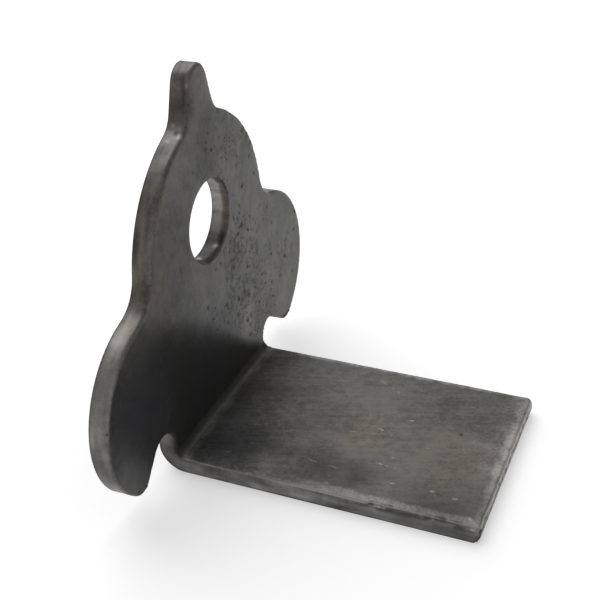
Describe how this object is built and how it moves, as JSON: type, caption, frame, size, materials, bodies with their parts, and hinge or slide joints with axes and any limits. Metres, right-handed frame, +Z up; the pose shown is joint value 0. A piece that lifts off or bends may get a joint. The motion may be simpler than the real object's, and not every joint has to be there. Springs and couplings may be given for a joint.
{
  "type": "weld tab",
  "caption": "Folded steel weld tab: an upright eye plate with a round pin hole, a tapered nub and rounded ears, and a flat rectangular shelf that is welded down.",
  "frame": {"origin": "on the plane the shelf rests on, under the middle of the overall box", "axes": "+X along the shelf from the fold to its free end and along the hole's axis, +Y along the fold, +Z up the eye plate"},
  "size_m": [0.0776, 0.1044, 0.0916],
  "materials": {
    "mill_steel": "hot-rolled mill steel under thin dark scale, barer and lighter on its punched edges, pitted and scuffed"
  },
  "bodies": {
    "root": {"weld_tab": "mill_steel"}
  },
  "joints": []
}
